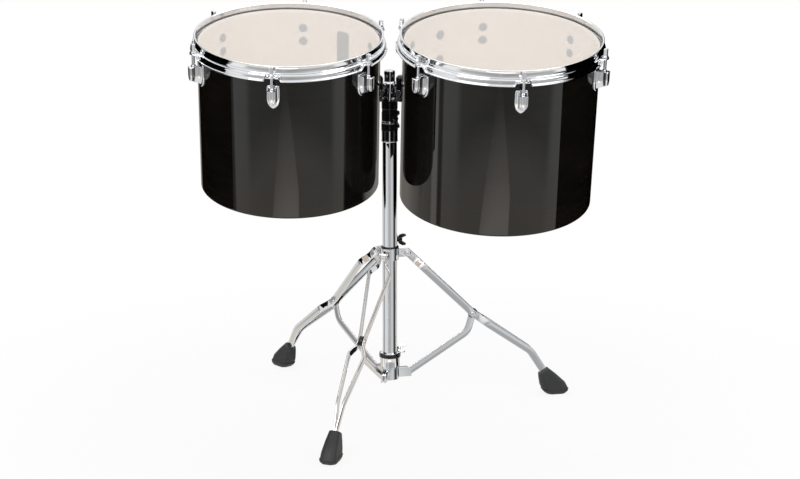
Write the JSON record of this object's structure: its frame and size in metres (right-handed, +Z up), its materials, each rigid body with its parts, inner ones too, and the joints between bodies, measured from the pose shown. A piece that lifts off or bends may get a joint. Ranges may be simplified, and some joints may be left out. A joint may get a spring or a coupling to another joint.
{
  "type": "pair of concert toms on a stand",
  "caption": "Pair of single-headed wooden concert toms with pressed hoops and bullet lugs on a folding double-braced tripod stand with swivelling L-rod mounts.",
  "frame": {"origin": "middle of the bounding box on the floor, under the pair of drums", "axes": "+Z up, +X to the player's view right along the row of drums, -Y towards the side the heads tilt to"},
  "size_m": [0.7524, 0.7584, 0.8243],
  "materials": {
    "chrome": "polished chrome plate",
    "black_plastic": "moulded, satin",
    "black_rubber": "matt",
    "black_lacquer": "high gloss black lacquer over fine grain",
    "cream_film": "hazy translucent drum film"
  },
  "bodies": {
    "base": {"base_tube": "chrome", "lower_hub": "chrome", "lower_clamp": "chrome", "height_clamp": "black_plastic"},
    "lower_wing": {"lower_wing_bolt": "chrome"},
    "height_knob": {"height_clamp_knob": "black_plastic"},
    "hub": {"leg_hub": "chrome"},
    "hub_wing": {"leg_hub_wing": "black_plastic"},
    "leg_1": {"leg_1": "chrome", "foot_1": "black_rubber"},
    "brace_1": {"brace_1": "chrome"},
    "leg_2": {"leg_2": "chrome", "foot_2": "black_rubber"},
    "brace_2": {"brace_2": "chrome"},
    "leg_3": {"leg_3": "chrome", "foot_3": "black_rubber"},
    "brace_3": {"brace_3": "chrome"},
    "holder": {"holder_post": "chrome"},
    "left_tilter": {"left_tilter": "black_plastic"},
    "left_tilter_wing": {"left_tilter_wing_bolt": "chrome"},
    "left_rod": {"left_l_rod": "chrome"},
    "left_lock": {"left_memory_lock": "chrome"},
    "left_drum": {"left_shell": "black_lacquer", "left_head": "cream_film", "left_hoop": "chrome", "left_mount_bracket": "chrome", "left_lug_1": "chrome", "left_lug_2": "chrome", "left_lug_3": "chrome", "left_lug_4": "chrome", "left_lug_5": "chrome", "left_lug_6": "chrome"},
    "left_bracket_wing": {"left_bracket_wing_bolt": "chrome"},
    "left_key_1": {"left_tension_rod_1": "chrome"},
    "left_key_2": {"left_tension_rod_2": "chrome"},
    "left_key_3": {"left_tension_rod_3": "chrome"},
    "left_key_4": {"left_tension_rod_4": "chrome"},
    "left_key_5": {"left_tension_rod_5": "chrome"},
    "left_key_6": {"left_tension_rod_6": "chrome"},
    "right_tilter": {"right_tilter": "black_plastic"},
    "right_tilter_wing": {"right_tilter_wing_bolt": "chrome"},
    "right_rod": {"right_l_rod": "chrome"},
    "right_lock": {"right_memory_lock": "chrome"},
    "right_drum": {"right_shell": "black_lacquer", "right_head": "cream_film", "right_hoop": "chrome", "right_mount_bracket": "chrome", "right_lug_1": "chrome", "right_lug_2": "chrome", "right_lug_3": "chrome", "right_lug_4": "chrome", "right_lug_5": "chrome", "right_lug_6": "chrome"},
    "right_bracket_wing": {"right_bracket_wing_bolt": "chrome"},
    "right_key_1": {"right_tension_rod_1": "chrome"},
    "right_key_2": {"right_tension_rod_2": "chrome"},
    "right_key_3": {"right_tension_rod_3": "chrome"},
    "right_key_4": {"right_tension_rod_4": "chrome"},
    "right_key_5": {"right_tension_rod_5": "chrome"},
    "right_key_6": {"right_tension_rod_6": "chrome"}
  },
  "joints": [
    {"name": "lower_wing_turn", "type": "hinge", "parent": "base", "child": "lower_wing", "pos_m": [0.00701, 0.09964, 0.1121], "axis": [0.9205, -0.3907, 0], "continuous": true},
    {"name": "height_knob_turn", "type": "hinge", "parent": "base", "child": "height_knob", "pos_m": [0.00938, 0.06311, 0.5876], "axis": [0.4226, -0.9063, 0], "continuous": true},
    {"name": "hub_slide", "type": "slide", "parent": "base", "child": "hub", "axis": [0, 0, 1], "range_m": [0, 0.114]},
    {"name": "hub_wing_turn", "type": "hinge", "parent": "hub", "child": "hub_wing", "pos_m": [0.00701, 0.09964, 0.338], "axis": [0.9205, -0.3907, 0], "continuous": true},
    {"name": "leg_1_fold", "type": "hinge", "parent": "hub", "child": "leg_1", "pos_m": [0.03962, 0.07927, 0.314], "axis": [-0.1219, 0.9925, 0], "range_deg": [0, 37.6]},
    {"name": "brace_1_fold", "type": "hinge", "parent": "base", "child": "brace_1", "pos_m": [0.03823, 0.0791, 0.0635], "axis": [0.1219, -0.9925, 0], "range_deg": [0, 40.6]},
    {"name": "leg_2_fold", "type": "hinge", "parent": "hub", "child": "leg_2", "pos_m": [-0.01778, 0.10364, 0.314], "axis": [-0.7986, -0.6018, 0], "range_deg": [0, 37.6]},
    {"name": "brace_2_fold", "type": "hinge", "parent": "base", "child": "brace_2", "pos_m": [-0.01693, 0.10252, 0.0635], "axis": [0.7986, 0.6018, 0], "range_deg": [0, 40.6]},
    {"name": "leg_3_fold", "type": "hinge", "parent": "hub", "child": "leg_3", "pos_m": [-0.01018, 0.04175, 0.314], "axis": [0.9205, -0.3907, 0], "range_deg": [0, 37.6]},
    {"name": "brace_3_fold", "type": "hinge", "parent": "base", "child": "brace_3", "pos_m": [-0.00963, 0.04304, 0.0635], "axis": [-0.9205, 0.3907, 0], "range_deg": [0, 40.6]},
    {"name": "height_slide", "type": "slide", "parent": "base", "child": "holder", "axis": [0, 0, 1], "range_m": [0, 0.25]},
    {"name": "left_swing", "type": "hinge", "parent": "holder", "child": "left_tilter", "pos_m": [-0.02501, 0.05697, 0.6283], "axis": [0, 0, -1], "range_deg": [0, 15]},
    {"name": "left_tilter_wing_turn", "type": "hinge", "parent": "left_tilter", "child": "left_tilter_wing", "pos_m": [-0.01695, 0.04397, 0.639], "axis": [-0.527, 0.8499, 0], "continuous": true},
    {"name": "left_rod_tilt", "type": "hinge", "parent": "left_tilter", "child": "left_rod", "pos_m": [-0.02501, 0.05697, 0.652], "axis": [-0.8499, -0.527, 0], "range_deg": [0, 12]},
    {"name": "left_drum_rise", "type": "slide", "parent": "left_rod", "child": "left_lock", "axis": [0, -0.2164, 0.9763], "range_m": [0, 0.03]},
    {"name": "left_drum_turn", "type": "hinge", "parent": "left_lock", "child": "left_drum", "pos_m": [-0.06929, 0.00989, 0.74055], "axis": [0, 0.2164, -0.9763], "range_deg": [0, 30]},
    {"name": "left_bracket_wing_turn", "type": "hinge", "parent": "left_drum", "child": "left_bracket_wing", "pos_m": [-0.0649, 0.01476, 0.74163], "axis": [0.66, 0.7335, 0.1626], "continuous": true},
    {"name": "left_key_1_turn", "type": "hinge", "parent": "left_drum", "child": "left_key_1", "pos_m": [-0.2307, -0.31872, 0.7435], "axis": [0, -0.2164, 0.9763], "continuous": true},
    {"name": "left_key_2_turn", "type": "hinge", "parent": "left_drum", "child": "left_key_2", "pos_m": [-0.06011, -0.26234, 0.756], "axis": [0, -0.2164, 0.9763], "continuous": true},
    {"name": "left_key_3_turn", "type": "hinge", "parent": "left_drum", "child": "left_key_3", "pos_m": [-0.02482, -0.08992, 0.79422], "axis": [0, -0.2164, 0.9763], "continuous": true},
    {"name": "left_key_4_turn", "type": "hinge", "parent": "left_drum", "child": "left_key_4", "pos_m": [-0.16012, 0.02613, 0.81995], "axis": [0, -0.2164, 0.9763], "continuous": true},
    {"name": "left_key_5_turn", "type": "hinge", "parent": "left_drum", "child": "left_key_5", "pos_m": [-0.33072, -0.03025, 0.80745], "axis": [0, -0.2164, 0.9763], "continuous": true},
    {"name": "left_key_6_turn", "type": "hinge", "parent": "left_drum", "child": "left_key_6", "pos_m": [-0.36601, -0.20267, 0.76922], "axis": [0, -0.2164, 0.9763], "continuous": true},
    {"name": "right_swing", "type": "hinge", "parent": "holder", "child": "right_tilter", "pos_m": [0.02935, 0.05236, 0.6283], "axis": [0, 0, 1], "range_deg": [0, 15]},
    {"name": "right_tilter_wing_turn", "type": "hinge", "parent": "right_tilter", "child": "right_tilter_wing", "pos_m": [0.01921, 0.0409, 0.639], "axis": [0.6626, 0.749, 0], "continuous": true},
    {"name": "right_rod_tilt", "type": "hinge", "parent": "right_tilter", "child": "right_rod", "pos_m": [0.02935, 0.05236, 0.652], "axis": [-0.749, 0.6626, 0], "range_deg": [0, 12]},
    {"name": "right_drum_rise", "type": "slide", "parent": "right_rod", "child": "right_lock", "axis": [0, -0.2164, 0.9763], "range_m": [0, 0.03]},
    {"name": "right_drum_turn", "type": "hinge", "parent": "right_lock", "child": "right_drum", "pos_m": [0.07189, -0.00575, 0.74436], "axis": [0, -0.2164, 0.9763], "range_deg": [0, 30]},
    {"name": "right_bracket_wing_turn", "type": "hinge", "parent": "right_drum", "child": "right_bracket_wing", "pos_m": [0.0682, -0.00035, 0.74555], "axis": [-0.5548, 0.8122, 0.1801], "continuous": true},
    {"name": "right_key_1_turn", "type": "hinge", "parent": "right_drum", "child": "right_key_1", "pos_m": [0.19741, -0.37514, 0.73826], "axis": [0, -0.2164, 0.9763], "continuous": true},
    {"name": "right_key_2_turn", "type": "hinge", "parent": "right_drum", "child": "right_key_2", "pos_m": [0.35781, -0.2707, 0.76142], "axis": [0, -0.2164, 0.9763], "continuous": true},
    {"name": "right_key_3_turn", "type": "hinge", "parent": "right_drum", "child": "right_key_3", "pos_m": [0.34537, -0.08287, 0.80306], "axis": [0, -0.2164, 0.9763], "continuous": true},
    {"name": "right_key_4_turn", "type": "hinge", "parent": "right_drum", "child": "right_key_4", "pos_m": [0.17253, 0.00053, 0.82155], "axis": [0, -0.2164, 0.9763], "continuous": true},
    {"name": "right_key_5_turn", "type": "hinge", "parent": "right_drum", "child": "right_key_5", "pos_m": [0.01213, -0.1039, 0.79839], "axis": [0, -0.2164, 0.9763], "continuous": true},
    {"name": "right_key_6_turn", "type": "hinge", "parent": "right_drum", "child": "right_key_6", "pos_m": [0.02457, -0.29174, 0.75675], "axis": [0, -0.2164, 0.9763], "continuous": true}
  ],
  "couplings": [
    {"joint": "leg_1_fold", "follows": "hub_slide", "rad_per_m": 5.711},
    {"joint": "brace_1_fold", "follows": "hub_slide", "rad_per_m": 6.17},
    {"joint": "leg_2_fold", "follows": "hub_slide", "rad_per_m": 5.711},
    {"joint": "brace_2_fold", "follows": "hub_slide", "rad_per_m": 6.17},
    {"joint": "leg_3_fold", "follows": "hub_slide", "rad_per_m": 5.711},
    {"joint": "brace_3_fold", "follows": "hub_slide", "rad_per_m": 6.17}
  ]
}
